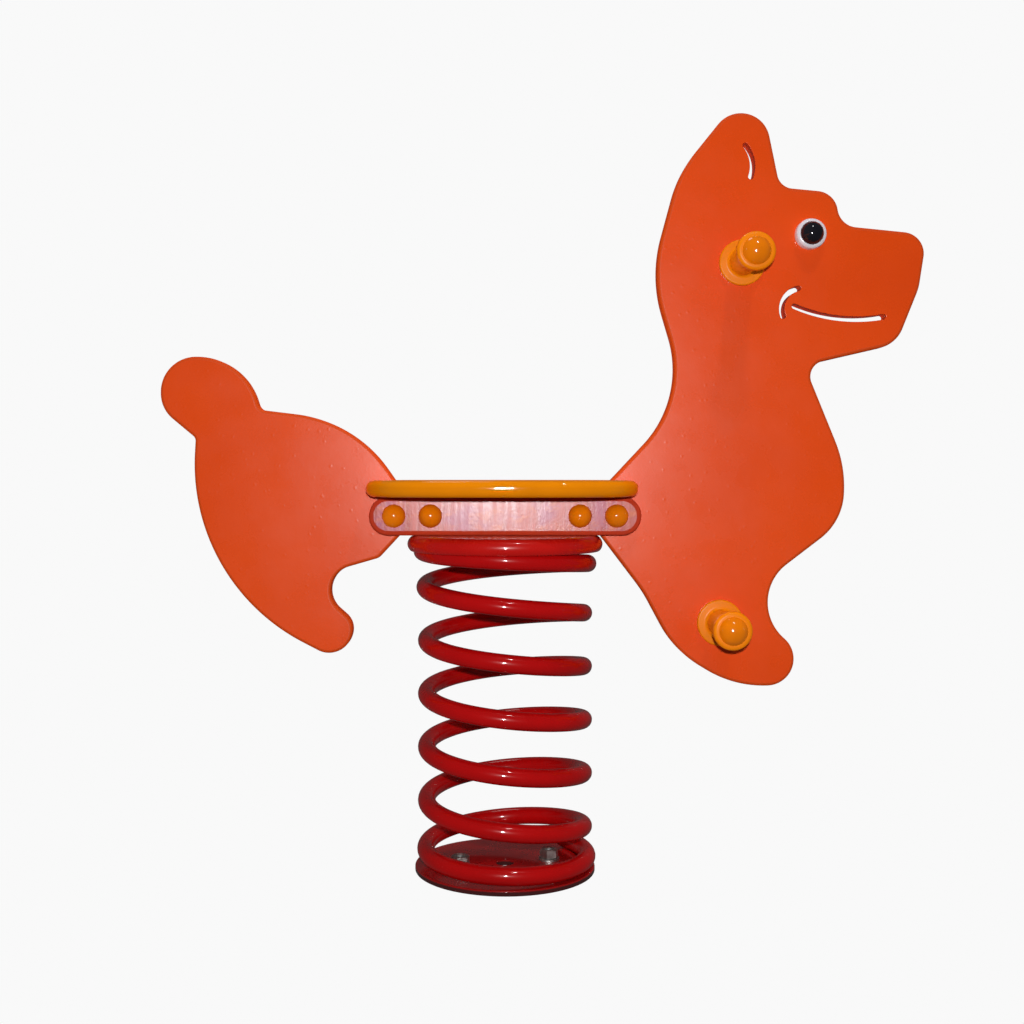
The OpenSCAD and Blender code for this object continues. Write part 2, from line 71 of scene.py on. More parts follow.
# Sizes of the body, as the solids have them
PANEL_EDGE_R = 4 * MM
RAIL_EDGE_R = 3 * MM
SEAT_EDGE_R = 8 * MM
SEAT_CORNER_R = 95 * MM
SEAT_MOUTH_R = 9 * MM
SEAT_ROOT_R = 3 * MM
SMALL_EDGE_R = 0.4 * MM
SLOT_EDGE_R = 0.8 * MM
SLOT_W = 6 * MM
SEAT_SLOT_GAP = 1 * MM
NECK_X = 102 * MM
BACK_X = 111 * MM
BOLT_OUTER_X = 125 * MM
BOLT_INNER_X = 84 * MM
BOLT_HEIGHT = 22 * MM
BOLT_HOLE_R = 4.3 * MM
SEAT_BOLT_X = 45 * MM
PLUG_HOLE_R = 9 * MM
PLUG_DEPTH = 8.1 * MM
PLUG_R = 8.85 * MM
PLUG_T = 2.5 * MM

# Rails: the unrubbed border inside their edge, where it fades, and how nearly their ends are half circles
RAIL_BORDER = 2.6 * MM
BORDER_FADE = 0.7 * MM
RAIL_ROUND = 0.999

# Outline points of both panels: x, height above the deck and corner radius, anticlockwise
FRONT_OUTLINE = MM * np.array([
    (62, 1, 6), (107, 1, 5),                            # tongue
    (157, -65, 150), (192.5, -131.5, 120),              # calf
    (260, -172, 124), (374, -169, 30.5),                # sole and toe
    (268, -73, 54),                                     # bend above the foot
    (383, 15, 68), (386.5, 78, 137),                    # chest
    (340, 192.5, 18), (444, 216.5, 36),                 # throat and chin
    (469.5, 280, 60), (479, 341, 24.5),                 # muzzle and nose
    (380.5, 351, 23), (374.5, 388.5, 25),               # bridge of the nose, brow
    (312, 394.5, 18.5), (286, 521, 33),                 # foot and tip of the ear
    (197.5, 411, 140), (166, 294.5, 162),               # back of the ear and of the head
    (207, 155, 125),                                    # nape
    (102, 43, 6), (62, 43, 6),                          # neck and tongue
])
REAR_OUTLINE = MM * np.array([
    (-62, 1, 6), (-62, 43, 6),                          # tongue
    (-111, 43, 6), (-171, 129, 149),                    # back
    (-278, 142, 10), (-297, 201.5, 71),                 # root and top of the tail
    (-391, 203, 40), (-390.5, 143, 37.5),               # tip of the tail
    (-351, 110, 7), (-360, -54, 228),                   # underside of the tail, rump
    (-183, -146, 27), (-169.5, -100, 22.5),             # paw
    (-226, -50, 28), (-143, -26, 9), (-118, 1, 6),      # bend above the paw, belly
])
# Face slots: centre x, centre height above the deck and radius, then the first and last angle
FACE_SLOTS = (
    (MM * np.array((243.5, 418, 37)), -19, 39),
    (MM * np.array((337.5, 256, 24)), 103, 200),
    (MM * np.array((398, 420.5, 176)), 246.5, 280),
)

# Base plate and its anchors
BASE_R = 102 * MM
BASE_T = 6 * MM
BASE_EDGE_R = 1.2 * MM
CENTRE_HOLE_R = 10 * MM
ANCHOR_R = 52.5 * MM
ANCHOR_HOLE_R = 6.5 * MM
ANCHOR_TURN = math.radians(15)
ANCHOR_FLATS = 19 * MM
ANCHOR_NUT_H = 10 * MM
ANCHOR_BORE_R = 6.1 * MM
ANCHOR_WASHER_T = 2.5 * MM
NUT_FACE_R = 0.475 * ANCHOR_FLATS
NUT_CHAMFER_H = 0.07 * ANCHOR_FLATS
NUT_CHAMFER = math.radians(60)
NUT_LEAD = 0.06 * ANCHOR_FLATS

# Weld bead: the share of its length that is left off at each end, and the share that draws in, come last
WELD_R = 4 * MM
WELD_RING_R = 82.5 * MM
WELD_ANGLES = (-36, 38)
WELD_RIPPLES = 22
RIPPLE_RINGS = 12
RIPPLE_DEPTH = 0.09
WELD_TRIM = 0.01
WELD_TAPER = 1 / 12

# Spring. Each end rises as the square of its turns, and so clears the turn beside it by a set gap.
WIRE_R = 10 * MM
COIL_R = 89 * MM
BASE_RING_R = 93 * MM
TOP_RING_R = 94 * MM
SEAT_GAP = 0.3 * MM
BASE_TURN_GAP = 6 * MM
TOP_TURN_GAP = 3 * MM
TURNS = 6.85
BASE_SEAT = 0.12
TOP_SEAT = 0.02
TOP_HOLD = 0.85
BAR_END = 0.88
SLOPE_STEP = 1e-4
CUP_T = 5 * MM
COIL_BOTTOM = BASE_T + WIRE_R + SEAT_GAP
COIL_TOP = DECK - CUP_T - WIRE_R - SEAT_GAP
BASE_SHARE = (1 - BASE_SEAT) ** 2 / (2 * (2 * WIRE_R + BASE_TURN_GAP))
TOP_SHARE = (1 - TOP_SEAT) ** 2 / (2 * (2 * WIRE_R + TOP_TURN_GAP))
RAMP_SHARE = BASE_SHARE + TOP_SHARE
PITCH = (TURNS - math.sqrt(TURNS ** 2 - 2 * RAMP_SHARE * (COIL_TOP - COIL_BOTTOM))) / RAMP_SHARE
BASE_RAMP = BASE_SHARE * PITCH
TOP_RAMP = TOP_SHARE * PITCH

# Cup, with the shares of its bulge that two runs of steps cover
CUP_R = (CUP_HIGH.x - CUP_LOW.x) / 2
CUP_RIM_R = 10 * MM
CUP_WALL = 6 * MM
CUP_LIP_R = 1.5 * MM
CUP_FILLET_R = 3 * MM
BULGE_RUNS = ((0, 1 / 3), (0.36, 1))

# Grips, caps and eyes
FLANGE_R = 26 * MM
FLANGE_T = 6 * MM
FLANGE_EDGE_R = 2 * MM
SLEEVE_R = 15 * MM
SLEEVE_WAIST = 1 * MM
ROOT_R = 4 * MM
KNOB_R = 21 * MM
KNOB_T = 10 * MM
KNOB_EDGE_R = 4 * MM
CAP_R = 13.2 * MM
GRIP_CAP_R = 15.4 * MM
CAP_H = 11 * MM
CAP_ROOM_R = 8.3 * MM
CAP_ROOM_H = 7.4 * MM
EYE_R = 17 * MM
EYE_EDGE_R = 4 * MM

# Fineness of the surfaces
ARC_ERROR = 0.02 * MM
SAME_PLACE = 1e-9
EDGE_STEPS = 8
DOME_STEPS = 20
ROUND_SIDES = 96
TUBE_SIDES = 32
TURN_RINGS = 72
SHARP_ANGLE = math.radians(42)

# Colours of the finishes: linear red, green and blue
ORANGE_DEEP = (0.735, 0.060, 0.002)
ORANGE_BRIGHT = (0.800, 0.071, 0.003)
ORANGE_FLECK = (0.85, 0.16, 0.05)
# Deeper orange on the rounded edges of the panels: painted shade
ORANGE_EDGE_SHADE = (0.64, 0.060, 0.001)
ORANGE_SHEEN = (0.82, 1.0, 1.0, 1)
RAIL_DEEP = (0.38, 0.042, 0.020)
RAIL_BRIGHT = (0.56, 0.085, 0.050)
# Lilac of the rail's face: a painted reflection of the flash's glare
RAIL_PAINTED_GLARE = (0.38, 0.050, 0.115)
RAIL_ORANGE = (0.62, 0.125, 0.012)
RAIL_EDGE = (0.44, 0.026, 0.001)
RAIL_SHEEN = (0.97, 0.94, 0.98, 1)
SEAT_DEEP = (0.62, 0.178, 0.0005)
SEAT_BRIGHT = (0.70, 0.207, 0.001)
CAP_DEEP = (0.68, 0.158, 0.0005)
CAP_BRIGHT = (0.75, 0.178, 0.001)
GRIP_DEEP = (0.77, 0.192, 0.001)
GRIP_BRIGHT = (0.85, 0.218, 0.002)
RED_DEEP = (0.36, 0.0018, 0.0022)
RED_BRIGHT = (0.42, 0.0026, 0.003)
# Brighter copy of the red paint for the cup: painted light where the cup faces the flash
CUP_LIT_DEEP = (0.42, 0.004, 0.003)
CUP_LIT_BRIGHT = (0.48, 0.006, 0.004)
# Near-black painted shade and dirt where the red paint meets the ground, and the heights over which it fades
# out
SHADE_AND_DIRT = (0.018, 0.010, 0.010)
SHADE_AND_DIRT_LOW = 4 * MM
SHADE_AND_DIRT_HIGH = 6.6 * MM
ZINC_DEEP = (0.34, 0.335, 0.32)
ZINC_BRIGHT = (0.52, 0.51, 0.49)
WHITE_DEEP = (0.64, 0.60, 0.65)
WHITE_BRIGHT = (0.74, 0.70, 0.75)
BLACK_DEEP = (0.006, 0.006, 0.009)
BLACK_BRIGHT = (0.010, 0.010, 0.014)

# Stage and lamps. A round lamp has a place, target, power and size, a fill light a place and a strength.
COVE_MIDDLE_R = 0.01
COVE_FLOOR_R = 5.0
COVE_BEND_R = 1.0
COVE_TOP = 6.0
COVE_DROP = 0.2 * MM
COVE_STEPS = 16
PAPER_GLOW = 0.947
WORLD_GLOW = 0.06
ROUND_LAMPS = (
    ("flash", (0.005, -1.50, 0.52), (0.05, 0, 0.45), 17.7, 0.03),
    ("lamp_above", (0.42, -0.95, 2.35), (0.1, 0, 0.5), 5.5, 0.14),
    ("lamp_behind", (-0.30, 0.90, 2.40), (0, 0, 0.5), 3.5, 0.60),
)
FILL_LIGHTS = (
    ("fill_behind", (1.5, 3, 1.5), 1.6),
    ("fill_behind_low", (-1.5, 3, -1.2), 1.2),
    ("fill_above", (0, 0, 3), 1.2),
    ("fill_front", (3, 0, 0.5), 0.8),
    ("fill_rear", (-3, 0, 0.5), 0.8),
    ("fill_below", (-0.8, 0, -3), 0.5),
)
FILL_ANGLE = math.radians(15)

# Camera of the photograph: its place, the lens's length in pixels, and the pixel that it looks straight at
CAMERA_PLACE = (-0.017, -1.482, 0.448)
PICTURE = 1024
LENS_PX = 1300
AIM_PX = (490, 475)
SENSOR = 36


# Surfaces

def grid_faces(rows, columns, ring=False):
    """Quads of a grid whose columns close on themselves.

    Its rows run from first to last, or close as a ring."""
    row = np.arange(rows if ring else rows - 1)[:, None]
    column = np.arange(columns)[None, :]
    here = row * columns
    above = (row + 1) % rows * columns
    following = (column + 1) % columns
    corners = (here + column, here + following, above + following, above + column)
    return np.stack(np.broadcast_arrays(*corners), axis=-1).reshape(-1, 4)


def end_fans(rows, columns):
    """Triangles that close the first and last row of a grid on two points, which follow the grid's own."""
    column = np.arange(columns)
    following = (column + 1) % columns
    last = (rows - 1) * columns
    low = np.full(columns, rows * columns)
    first_fan = np.stack((following, column, low), axis=1)
    last_fan = np.stack((column + last, following + last, low + 1), axis=1)
    return np.concatenate((first_fan, last_fan))


def mesh_piece(name, points, faces, normals=None):
    """A smooth-shaded mesh object at the origin. Given normals are used as they are."""
    mesh = bpy.data.meshes.new(name)
    mesh.from_pydata(np.asarray(points).tolist(), [], [list(map(int, face)) for face in faces])
    mesh.polygons.foreach_set("use_smooth", np.ones(len(mesh.polygons), bool))
    mesh.update()
    if normals is None:
        mesh.set_sharp_from_angle(angle=SHARP_ANGLE)
    else:
        mesh.normals_split_custom_set_from_vertices(np.asarray(normals).tolist())
    piece = bpy.data.objects.new(name, mesh)
    bpy.context.scene.collection.objects.link(piece)
    return piece


def arc(x, y, r, start, end, steps=EDGE_STEPS):
    """Points on a circle round (x, y) from one angle to another, in degrees."""
    angle = np.radians(np.linspace(start, end, steps + 1))
    return np.stack((x + r * np.cos(angle), y + r * np.sin(angle)), axis=1)


def rounded_outline(corners):
    """Points and outward normals of an anticlockwise polygon whose corners are arcs of their own radius.

    Each arc touches both sides of its corner: its centre lies on the corner's bisector, r / sin(half angle)
    away, and it is sampled so finely that no chord leaves it by more than ARC_ERROR."""
    points = []
    normals = []
    for before, here, after in zip(np.roll(corners, 1, axis=0), corners, np.roll(corners, -1, axis=0)):
        place, r = here[:2], here[2]
        back = (before[:2] - place) / np.linalg.norm(before[:2] - place)
        ahead = (after[:2] - place) / np.linalg.norm(after[:2] - place)
        half = math.acos(back @ ahead) / 2
        bisector = (back + ahead) / np.linalg.norm(back + ahead)
        centre = place + bisector * r / math.sin(half)
        start = place + back * r / math.tan(half) - centre
        turn = 1 if ahead[0] * back[1] - ahead[1] * back[0] > 0 else -1
        sweep = math.pi - 2 * half
        count = max(3, math.ceil(sweep / (2 * math.acos(1 - ARC_ERROR / r))))
        angle = math.atan2(start[1], start[0]) + turn * sweep * np.linspace(0, 1, count + 1)
        radial = np.stack((np.cos(angle), np.sin(angle)), axis=1)
        points.append(centre + r * radial)
        normals.append(turn * radial)
    return np.concatenate(points), np.concatenate(normals)


def slot_outline(place, first, last):
    """Clockwise outline of a round-ended slot along an arc, and its normals, which point into the slot."""
    x, y, r = place
    half = SLOT_W / 2
    steps = 3 * EDGE_STEPS
    runs = (
        (arc(x, y, r + half, last, first, steps), (x, y), -1),
        (arc(*arc(x, y, r, first, first, 1)[0], half, first + 360, first + 180, steps), None, -1),
        (arc(x, y, r - half, first, last, steps), (x, y), 1),
        (arc(*arc(x, y, r, last, last, 1)[0], half, last + 180, last, steps), None, -1),
    )
    points = []
    normals = []
    for run, centre, sign in runs:
        middle = np.array(centre) if centre else (run[0] + run[-1]) / 2
        radial = (run - middle) / np.linalg.norm(run - middle, axis=1)[:, None]
        points.append(run[:-1])
        normals.append(sign * radial[:-1])
    return np.concatenate(points), np.concatenate(normals)


def circle_outline(x, y, r):
    """Anticlockwise circle and its outward normals."""
    points = arc(x, y, r, 0, 360, ROUND_SIDES)[:-1]
    return points, (points - np.array((x, y))) / r


def hole_outline(x, y, r):
    """Clockwise circle, with normals that point into it."""
    points, outward = circle_outline(x, y, r)
    return points[::-1], -outward[::-1]


def distinct(rows):
    """Rows without those that stand where the row before them does."""
    step = np.linalg.norm(np.diff(rows[:, :2], axis=0), axis=1)
    return rows[np.concatenate(([True], step > SAME_PLACE))]


def edge_rows(*arcs):
    """Rows of a flat piece's edge from its lower face to its upper one: how far out, how high, the normal.

    Each arc is its centre, its radius, and its first and last angle. A radius below zero is a hollow arc,
    whose normals point at its centre."""
    rows = []
    for out, up, r, start, end in arcs:
        ray = arc(0, 0, 1, start, end)
        rows.append(np.concatenate((np.array((out, up)) + abs(r) * ray, math.copysign(1, r) * ray), axis=1))
    return distinct(np.concatenate(rows))


def round_edge(r, thickness, border=0):
    """A quarter circle, the wall and a second quarter circle.

    A border adds two rows on each face: one that far further in, and one where its fading starts."""
    rows = edge_rows((-r, r, r, -90, 0), (-r, thickness - r, r, 0, 90))
    if not border:
        return rows
    inner = np.array([(-r - border, 0, 0, -1), (-r - border + BORDER_FADE, 0, 0, -1)])
    opposite = inner[::-1] * (1, 0, 0, -1) + (0, thickness, 0, 0)
    return np.concatenate((inner, rows, opposite))


def with_height(flat, height):
    """A grid of flat vectors and one height for each of its rows, as one list of vectors in space."""
    heights = np.broadcast_to(height, (*flat.shape[:2], 1))
    return np.concatenate((flat, heights), axis=2).reshape(-1, 3)


def flat_piece(edges):
    """Points, faces and normals of a flat piece. Its first edge is its outline, and the others are holes.

    An edge is a loop of points, the loop's outward normals and the rows that carry it from face to face: each
    row moves the loop along its normals and lifts it."""
    points = []
    normals = []
    faces = []
    low_rings = []
    high_rings = []
    total = 0
    for (loop, outward), rows in edges:
        out, up, lean, lift = rows.T[:, :, None, None]
        points.append(with_height(loop + out * outward, up))
        normals.append(with_height(lean * outward, lift))
        columns = len(loop)
        faces.extend((grid_faces(len(rows), columns) + total).tolist())
        low_rings.append(np.arange(columns) + total)
        high_rings.append(np.arange(columns) + total + (len(rows) - 1) * columns)
        total += len(rows) * columns
    points = np.concatenate(points)
    for rings, facing in ((low_rings, -1), (high_rings, 1)):
        ring = np.concatenate(rings)
        flat = [[Vector((*points[i][:2], 0)) for i in part] for part in rings]
        triangles = ring[np.array(tessellate_polygon(flat))]
        a, b, c = (points[triangles[:, k]][:, :2] for k in range(3))
        area = (b[:, 0] - a[:, 0]) * (c[:, 1] - a[:, 1]) - (b[:, 1] - a[:, 1]) * (c[:, 0] - a[:, 0])
        turned_right = np.where((area * facing > 0)[:, None], triangles, triangles[:, ::-1])
        faces.extend(turned_right[np.abs(area) > 0].tolist())
    return points, faces, np.concatenate(normals)


def mark_outline(piece, outline_edge):
    """Attribute edge: 1 on the outline's rows, 0 on the innermost row of each face and in the holes."""
    (loop, _), rows = outline_edge
    share = np.zeros(len(piece.data.vertices))
    share[len(loop):len(loop) * (len(rows) - 1)] = 1
    piece.data.attributes.new("edge", "FLOAT", "POINT").data.foreach_set("value", share)


def stood_up(vectors):
    """Flat coordinates turned upright: the second axis becomes Z, and the thickness runs along -Y."""
    return np.stack((vectors[:, 0], -vectors[:, 2], vectors[:, 1]), axis=1)


def upright_sheet(name, outline, edge_r, y, thickness, slots=(), holes=(), border=0):
    """Sheet with slots and bolt holes, stood along X with its middle at y and measured up from the deck."""
    edges = [(outline, round_edge(edge_r, thickness, border))]
    edges += [(slot_outline(*slot), round_edge(SLOT_EDGE_R, thickness)) for slot in slots]
    edges += [(hole_outline(*hole, BOLT_HOLE_R), round_edge(SMALL_EDGE_R, thickness)) for hole in holes]
    points, faces, normals = flat_piece(edges)
    points = stood_up(points) + np.array((0, y + thickness / 2, DECK))
    sheet = mesh_piece(name, points, faces, stood_up(normals))
    mark_outline(sheet, edges[0])
    return sheet


def profile(*items):
    """Points of a profile: each item is one point, or an arc's centre, radius, angles and steps."""
    return distinct(np.concatenate([np.array([item]) if len(item) == 2 else arc(*item) for item in items]))


def ring_points(rings):
    """Points of circles round Z, each with its own radius and height."""
    turn = np.linspace(0, 2 * np.pi, ROUND_SIDES, endpoint=False)
    r, h = rings.T[:, :, None]
    return np.stack(np.broadcast_arrays(r * np.cos(turn), r * np.sin(turn), h), axis=-1).reshape(-1, 3)


def turned(outline):
    """Points and faces of a piece turned round Z. Its profile holds radius and height, anticlockwise.

    A profile that starts and ends on the axis is closed there by two fans, and any other closes on itself."""
    solid = outline[0, 0] == 0
    rings = outline[1:-1] if solid else outline
    points = ring_points(rings)
    faces = grid_faces(len(rings), ROUND_SIDES, ring=not solid)
    if not solid:
        return points, faces.tolist()
    poles = np.array(((0, 0, outline[0, 1]), (0, 0, outline[-1, 1])))
    return np.concatenate((points, poles)), faces.tolist() + end_fans(len(rings), ROUND_SIDES).tolist()


def joined(parts):
    """One set of points and faces from several."""
    points = []
    faces = []
    total = 0
    for part_points, part_faces in parts:
        points.append(part_points)
        faces.extend([[i + total for i in face] for face in part_faces])
        total += len(part_points)
    return np.concatenate(points), faces


def pointing(shape, place, side):
    """A shape along Z turned to point along Y, to the side given by its sign, from a place."""
    x, y, z = shape[0].T
    return np.stack((x, side * z, -side * y), axis=1) + np.array(place), shape[1]


def coil_line(turn):
    """Centre of the spring's bar at a number of turns: a left-hand helix.

    Its height rises as the square of the turns at the lower end, then evenly, and closes in the same way at
    the top. Its radius leaves each end ring by the square of what is left of the ramp."""
    lower = COIL_BOTTOM + PITCH * np.clip(turn, 0, None) ** 2 / (2 * BASE_RAMP)
    middle = COIL_BOTTOM + PITCH * (turn - BASE_RAMP / 2)
    upper = COIL_TOP - PITCH * np.clip(TURNS - turn, 0, None) ** 2 / (2 * TOP_RAMP)
    height = np.where(turn < BASE_RAMP, lower, np.where(turn < TURNS - TOP_RAMP, middle, upper))
    low_share = np.clip(1 - turn / BASE_RAMP, 0, 1) ** 2
    high_share = np.clip(1 - (TURNS - turn - TOP_HOLD) / TOP_RAMP, 0, 1) ** 2
    radius = COIL_R + (BASE_RING_R - COIL_R) * low_share + (TOP_RING_R - COIL_R) * high_share
    angle = -2 * np.pi * turn
    return np.stack((radius * np.cos(angle), radius * np.sin(angle), height), axis=1)


def tube(centre, ahead, out, radius):
    """Points and faces of a round bar: a circle of its own radius at each centre, square to the way ahead.

    Out points away from the bar's axis of winding. Each end is closed by a fan round its centre."""
    ahead = ahead / np.linalg.norm(ahead, axis=1)[:, None]
    up = np.cross(out, ahead)
    up /= np.linalg.norm(up, axis=1)[:, None]
    side = np.cross(ahead, up)
    angle = np.linspace(0, 2 * np.pi, TUBE_SIDES, endpoint=False)[None, :, None]
    spokes = np.cos(angle) * side[:, None] + np.sin(angle) * up[:, None]
    rings = centre[:, None] + radius[:, None, None] * spokes
    points = np.concatenate((rings.reshape(-1, 3), centre[:1], centre[-1:]))
    faces = grid_faces(len(centre), TUBE_SIDES)
    return points, faces.tolist() + end_fans(len(centre), TUBE_SIDES).tolist()


def spring_bar(start, end, cut_start, cut_end):
    """The spring's bar between two numbers of turns, square to its line. A cut end has a small bevel."""
    turn = np.linspace(start, end, int((end - start) * TURN_RINGS) + 1)
    radius = np.full(len(turn), WIRE_R)
    for index, cut in ((0, cut_start), (-1, cut_end)):
        radius[index] *= BAR_END if cut else 1
    out = np.stack((np.cos(2 * np.pi * turn), -np.sin(2 * np.pi * turn), np.zeros(len(turn))), axis=1)
    ahead = coil_line(turn + SLOPE_STEP) - coil_line(turn - SLOPE_STEP)
    return tube(coil_line(turn), ahead, out, radius)


def weld_bead():
    """Bead along the inside of the lowest turn: a bar on an arc.

    Its radius draws in at both ends as the square root of what is left, and dips by a sine at each ripple."""
    share = np.linspace(WELD_TRIM, 1 - WELD_TRIM, RIPPLE_RINGS * WELD_RIPPLES)
    angle = np.radians(WELD_ANGLES[0] + (WELD_ANGLES[1] - WELD_ANGLES[0]) * share)
    out = np.stack((np.cos(angle), np.sin(angle), np.zeros(len(angle))), axis=1)
    ahead = np.stack((-np.sin(angle), np.cos(angle), np.zeros(len(angle))), axis=1)
    ends = np.minimum(1, np.minimum(share, 1 - share) / WELD_TAPER) ** 0.5
    ripple = 1 - RIPPLE_DEPTH * np.abs(np.sin(np.pi * WELD_RIPPLES * share))
    return tube(WELD_RING_R * out + np.array((0, 0, BASE_T)), ahead, out, WELD_R * ends * ripple)


def anchor_nut():
    """Nut on the XY plane with a corner on X. Its radius is the lesser of the hexagon's and of a cone's.

    The cone rises from each face at 60 degrees and so chamfers the corners."""
    turn = np.linspace(0, 2 * np.pi, ROUND_SIDES, endpoint=False)
    hexagon = ANCHOR_FLATS / 2 / np.cos(turn % (math.pi / 3) - math.pi / 6)
    deep = np.linspace(0, NUT_CHAMFER_H, EDGE_STEPS)
    cone = NUT_FACE_R + deep * math.tan(NUT_CHAMFER)
    lead_r = ANCHOR_BORE_R + NUT_LEAD
    high = ANCHOR_NUT_H
    limit = np.concatenate(((ANCHOR_BORE_R, lead_r), cone, cone[::-1], (lead_r, ANCHOR_BORE_R)))
    rise = np.concatenate(((NUT_LEAD, 0), deep, high - deep[::-1], (high, high - NUT_LEAD)))
    r = np.minimum(hexagon, limit[:, None])
    points = np.stack(np.broadcast_arrays(r * np.cos(turn), r * np.sin(turn), rise[:, None]), axis=-1)
    return points.reshape(-1, 3), grid_faces(len(limit), ROUND_SIDES, ring=True).tolist()


def grip_shape():
    """Grip along Z: a flange, a sleeve that is drawn in by a sine's square, and a knob, round a bolt hole."""
    knob_z = GRIP_L - KNOB_T
    share = np.linspace(0, 1, 3 * EDGE_STEPS)[1:-1]
    sleeve_z = FLANGE_T + ROOT_R + (knob_z - FLANGE_T - 2 * ROOT_R) * share
    sleeve = np.stack((SLEEVE_R - SLEEVE_WAIST * np.sin(np.pi * share) ** 2, sleeve_z), axis=1)
    foot = profile(
        (BOLT_HOLE_R, 0), (FLANGE_R, 0),
        (FLANGE_R - FLANGE_EDGE_R, FLANGE_T - FLANGE_EDGE_R, FLANGE_EDGE_R, 0, 90),
        (SLEEVE_R + ROOT_R, FLANGE_T + ROOT_R, ROOT_R, 270, 180),
    )
    head = profile(
        (SLEEVE_R + ROOT_R, knob_z - ROOT_R, ROOT_R, 180, 90),
        (KNOB_R - FLANGE_EDGE_R, knob_z + FLANGE_EDGE_R, FLANGE_EDGE_R, 270, 360),
        (KNOB_R - KNOB_EDGE_R, GRIP_L - KNOB_EDGE_R, KNOB_EDGE_R, 0, 90),
        (BOLT_HOLE_R, GRIP_L),
    )
    return turned(np.concatenate((foot, sleeve, head)))


def cap_shape(r):
    """Dome cap on the XY plane: part of a sphere, with a round room in it for the bolt's end."""
    sphere_r = (r ** 2 + CAP_H ** 2) / (2 * CAP_H)
    start = math.degrees(math.asin((sphere_r - CAP_H) / sphere_r))
    return turned(profile(
        (0, CAP_ROOM_H), (CAP_ROOM_R, CAP_ROOM_H), (CAP_ROOM_R, 0), (r - SMALL_EDGE_R, 0),
        (0, CAP_H - sphere_r, sphere_r, start, 90, DOME_STEPS),
    ))


def eye_shape():
    """White of an eye on the XY plane: a disc with a broad round edge and a bolt hole."""
    return turned(profile(
        (BOLT_HOLE_R, 0), (EYE_R, 0),
        (EYE_R - EYE_EDGE_R, EYE_T - EYE_EDGE_R, EYE_EDGE_R, 0, 90),
        (BOLT_HOLE_R, EYE_T),
    ))


def plug_shape():
    """Flat plug with a small round edge at its top."""
    return turned(profile(
        (0, 0), (PLUG_R, 0),
        (PLUG_R - SMALL_EDGE_R, PLUG_T - SMALL_EDGE_R, SMALL_EDGE_R, 0, 90),
        (0, PLUG_T),
    ))


# Finishes

def shader(name):
    """A new material with its node tree, its principled shader and Object coordinates."""
    material = bpy.data.materials.new(name)
    material.use_nodes = True
    tree = material.node_tree
    surface = next(n for n in tree.nodes if n.type == "BSDF_PRINCIPLED")
    place = tree.nodes.new("ShaderNodeTexCoord").outputs["Object"]
    return material, tree, surface, place


def stretched(tree, place, scale):
    """Object coordinates times a scale along each axis."""
    mapping = tree.nodes.new("ShaderNodeMapping")
    mapping.inputs["Scale"].default_value = scale
    tree.links.new(place, mapping.inputs["Vector"])
    return mapping.outputs["Vector"]


def attribute(tree, name):
    """A piece's own attribute."""
    node = tree.nodes.new("ShaderNodeAttribute")
    node.attribute_name = name
    return node.outputs["Fac"]


def noise(tree, place, scale, detail=3.0, roughness=0.55):
    """Noise whose features are about 1 / scale metres across, from 0 to 1."""
    texture = tree.nodes.new("ShaderNodeTexNoise")
    texture.inputs["Scale"].default_value = scale
    texture.inputs["Detail"].default_value = detail
    texture.inputs["Roughness"].default_value = roughness
    tree.links.new(place, texture.inputs["Vector"])
    return texture.outputs["Fac"]


def spread(tree, value, low, high, low_in=0.3, high_in=0.7):
    """A value carried from one range to another, and held at its ends."""
    node = tree.nodes.new("ShaderNodeMapRange")
    node.inputs["From Min"].default_value = low_in
    node.inputs["From Max"].default_value = high_in
    node.inputs["To Min"].default_value = low
    node.inputs["To Max"].default_value = high
    tree.links.new(value, node.inputs["Value"])
    return node.outputs["Result"]


def dots(tree, place, scale, size):
    """Dots strewn through space about 1 / scale metres apart: 1 in the middle, and 0 from a size outwards."""
    texture = tree.nodes.new("ShaderNodeTexVoronoi")
    texture.inputs["Scale"].default_value = scale
    tree.links.new(place, texture.inputs["Vector"])
    return spread(tree, texture.outputs["Distance"], 1.0, 0.0, size / 3, size)


def ramp(tree, value, deep, bright, low=0.3, high=0.7):
    """From a deep colour at a low value to a bright one at a high value."""
    node = tree.nodes.new("ShaderNodeValToRGB")
    for element, position, colour in zip(node.color_ramp.elements, (low, high), (deep, bright)):
        element.position = position
        element.color = (*colour, 1)
    tree.links.new(value, node.inputs["Fac"])
    return node.outputs["Color"]


def raised(tree, value, share, height):
    """A value plus a share of a height."""
    node = tree.nodes.new("ShaderNodeMath")
    node.operation = "MULTIPLY_ADD"
    tree.links.new(share, node.inputs[0])
    node.inputs[1].default_value = height
    tree.links.new(value, node.inputs[2])
    return node.outputs["Value"]


def mixed(tree, share, first, second):
    """One colour, then a second one, by a share that varies over the surface."""
    node = tree.nodes.new("ShaderNodeMix")
    node.data_type = "RGBA"
    for socket, value in zip([s for s in node.inputs if s.enabled], (share, first, second)):
        if isinstance(value, tuple):
            socket.default_value = (*value, 1)
        else:
            tree.links.new(value, socket)
    return next(s for s in node.outputs if s.enabled)


def coat(tree, surface, colour, roughness, even=()):
    """Links a colour and a roughness to the shader, and sets what is the same all over on its own sockets."""
    tree.links.new(colour, surface.inputs["Base Color"])
    tree.links.new(roughness, surface.inputs["Roughness"])
    for socket, value in even:
        surface.inputs[socket].default_value = value


def bumped(tree, surface, *layers):
    """Bump on the shader: each layer is a height, its strength and its depth in metres."""
    normal = None
    for height, strength, depth in layers:
        node = tree.nodes.new("ShaderNodeBump")
        node.inputs["Strength"].default_value = strength
        node.inputs["Distance"].default_value = depth
        tree.links.new(height, node.inputs["Height"])
        if normal:
            tree.links.new(normal, node.inputs["Normal"])
        normal = node.outputs["Normal"]
    tree.links.new(normal, surface.inputs["Normal"])


